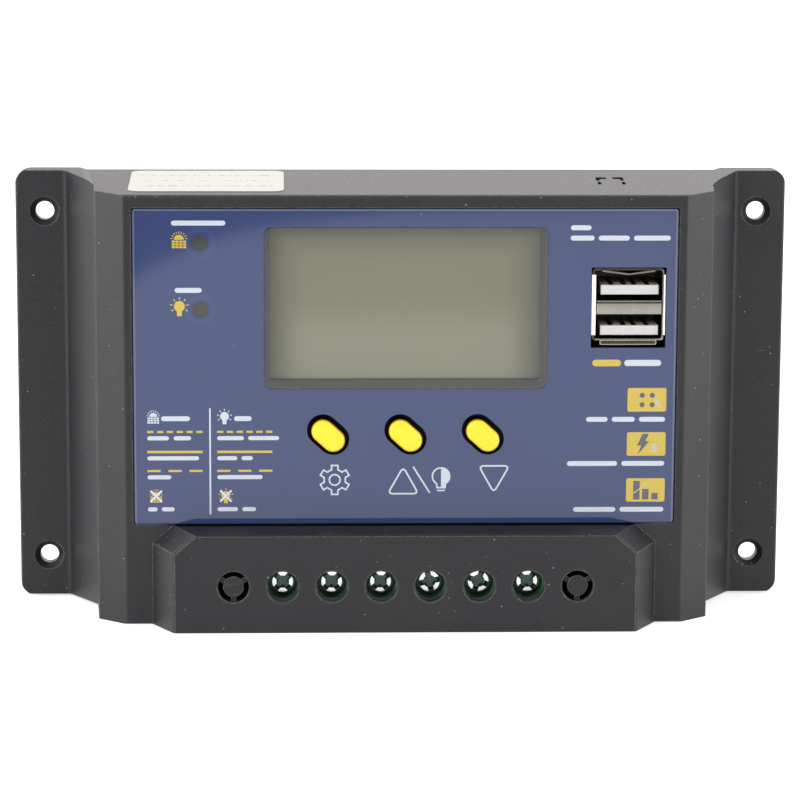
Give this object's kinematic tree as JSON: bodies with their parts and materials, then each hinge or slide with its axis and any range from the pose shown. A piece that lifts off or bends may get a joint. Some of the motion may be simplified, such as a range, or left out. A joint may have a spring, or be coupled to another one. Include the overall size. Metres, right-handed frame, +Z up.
{
  "type": "solar charge controller",
  "caption": "Wall-mounted solar charge controller with a display, slanted push buttons, stacked USB power sockets and rising-clamp screw terminals in an eared black case.",
  "frame": {"origin": "centre of the pattern of four mounting holes, on the wall plane", "axes": "+Z up, +X to the right as seen from the front, -Y out of the wall towards the viewer"},
  "size_m": [0.153, 0.0352, 0.0865],
  "materials": {
    "shell_black": "fine moulded texture",
    "plate_aluminium": "brushed",
    "steel": "zinc plated",
    "film_blue": "printed film",
    "clear_window": "clear film",
    "smoke_window": "smoked",
    "display_glass": "liquid crystal display",
    "black_plastic": "moulded",
    "backlight_white": "translucent white",
    "tinned": "tinned",
    "button_yellow": "moulded",
    "led_clear": "water clear",
    "board_green": "solder mask",
    "chip_black": "moulded",
    "brass_gold": "gold plated",
    "usb_nickel": "nickel plated",
    "tongue_white": "moulded",
    "block_green": "moulded",
    "bar_brass": "tinned brass",
    "pad_grey": "silicone sheet",
    "capacitor_sleeve": "sleeve",
    "copper_drum": "lacquered winding",
    "shunt_metal": "copper alloy",
    "sticker_white": "paper label"
  },
  "bodies": {
    "case": {"front_shell": "shell_black", "rear_plate": "plate_aluminium", "rear_screws": "steel", "front_film": "film_blue", "display_window": "clear_window", "indicator_windows": "smoke_window", "display_glass": "display_glass", "display_frame": "black_plastic", "backlight": "backlight_white", "display_pin_row": "tinned", "switch_bodies": "black_plastic", "switch_covers": "tinned", "led_upper": "led_clear", "led_lower": "led_clear", "led_legs": "tinned", "display_board": "board_green", "display_screws": "steel", "microcontroller": "chip_black", "chip_leads": "tinned", "board_header": "black_plastic", "header_pins": "brass_gold", "main_board": "board_green", "board_screws": "steel", "usb_shell": "usb_nickel", "usb_tongues": "tongue_white", "usb_contacts": "brass_gold", "terminal_block": "block_green", "terminal_bars": "bar_brass", "transistor_bodies": "chip_black", "transistor_tabs": "tinned", "transistor_pads": "pad_grey", "transistor_fasteners": "steel", "capacitors": "capacitor_sleeve", "inductor": "copper_drum", "current_shunts": "shunt_metal", "converter_chips": "chip_black", "rating_sticker": "sticker_white"},
    "left_button": {"button_left": "button_yellow", "plunger_left": "black_plastic"},
    "middle_button": {"button_middle": "button_yellow", "plunger_middle": "black_plastic"},
    "right_button": {"button_right": "button_yellow", "plunger_right": "black_plastic"},
    "screw_1": {"terminal_screw_1": "steel"},
    "clamp_1": {"wire_clamp_1": "steel"},
    "screw_2": {"terminal_screw_2": "steel"},
    "clamp_2": {"wire_clamp_2": "steel"},
    "screw_3": {"terminal_screw_3": "steel"},
    "clamp_3": {"wire_clamp_3": "steel"},
    "screw_4": {"terminal_screw_4": "steel"},
    "clamp_4": {"wire_clamp_4": "steel"},
    "screw_5": {"terminal_screw_5": "steel"},
    "clamp_5": {"wire_clamp_5": "steel"},
    "screw_6": {"terminal_screw_6": "steel"},
    "clamp_6": {"wire_clamp_6": "steel"}
  },
  "joints": [
    {"name": "press_left", "type": "slide", "parent": "case", "child": "left_button", "axis": [0, 1, 0], "range_m": [0, 0.0006], "stiffness_N_per_m": 2000},
    {"name": "press_middle", "type": "slide", "parent": "case", "child": "middle_button", "axis": [0, 1, 0], "range_m": [0, 0.0006], "stiffness_N_per_m": 2000},
    {"name": "press_right", "type": "slide", "parent": "case", "child": "right_button", "axis": [0, 1, 0], "range_m": [0, 0.0006], "stiffness_N_per_m": 2000},
    {"name": "turn_screw_1", "type": "hinge", "parent": "case", "child": "screw_1", "pos_m": [-0.02375, -0.0295, -0.0342], "axis": [0, 1, 0], "range_deg": [0, 2880]},
    {"name": "raise_clamp_1", "type": "slide", "parent": "case", "child": "clamp_1", "axis": [0, -1, 0], "range_m": [0, 0.004]},
    {"name": "turn_screw_2", "type": "hinge", "parent": "case", "child": "screw_2", "pos_m": [-0.01425, -0.0295, -0.0342], "axis": [0, 1, 0], "range_deg": [0, 2880]},
    {"name": "raise_clamp_2", "type": "slide", "parent": "case", "child": "clamp_2", "axis": [0, -1, 0], "range_m": [0, 0.004]},
    {"name": "turn_screw_3", "type": "hinge", "parent": "case", "child": "screw_3", "pos_m": [-0.00475, -0.0295, -0.0342], "axis": [0, 1, 0], "range_deg": [0, 2880]},
    {"name": "raise_clamp_3", "type": "slide", "parent": "case", "child": "clamp_3", "axis": [0, -1, 0], "range_m": [0, 0.004]},
    {"name": "turn_screw_4", "type": "hinge", "parent": "case", "child": "screw_4", "pos_m": [0.00475, -0.0295, -0.0342], "axis": [0, 1, 0], "range_deg": [0, 2880]},
    {"name": "raise_clamp_4", "type": "slide", "parent": "case", "child": "clamp_4", "axis": [0, -1, 0], "range_m": [0, 0.004]},
    {"name": "turn_screw_5", "type": "hinge", "parent": "case", "child": "screw_5", "pos_m": [0.01425, -0.0295, -0.0342], "axis": [0, 1, 0], "range_deg": [0, 2880]},
    {"name": "raise_clamp_5", "type": "slide", "parent": "case", "child": "clamp_5", "axis": [0, -1, 0], "range_m": [0, 0.004]},
    {"name": "turn_screw_6", "type": "hinge", "parent": "case", "child": "screw_6", "pos_m": [0.02375, -0.0295, -0.0342], "axis": [0, 1, 0], "range_deg": [0, 2880]},
    {"name": "raise_clamp_6", "type": "slide", "parent": "case", "child": "clamp_6", "axis": [0, -1, 0], "range_m": [0, 0.004]}
  ],
  "couplings": [
    {"joint": "turn_screw_1", "follows": "raise_clamp_1", "rad_per_m": 12566},
    {"joint": "turn_screw_2", "follows": "raise_clamp_2", "rad_per_m": 12566},
    {"joint": "turn_screw_3", "follows": "raise_clamp_3", "rad_per_m": 12566},
    {"joint": "turn_screw_4", "follows": "raise_clamp_4", "rad_per_m": 12566},
    {"joint": "turn_screw_5", "follows": "raise_clamp_5", "rad_per_m": 12566},
    {"joint": "turn_screw_6", "follows": "raise_clamp_6", "rad_per_m": 12566}
  ]
}
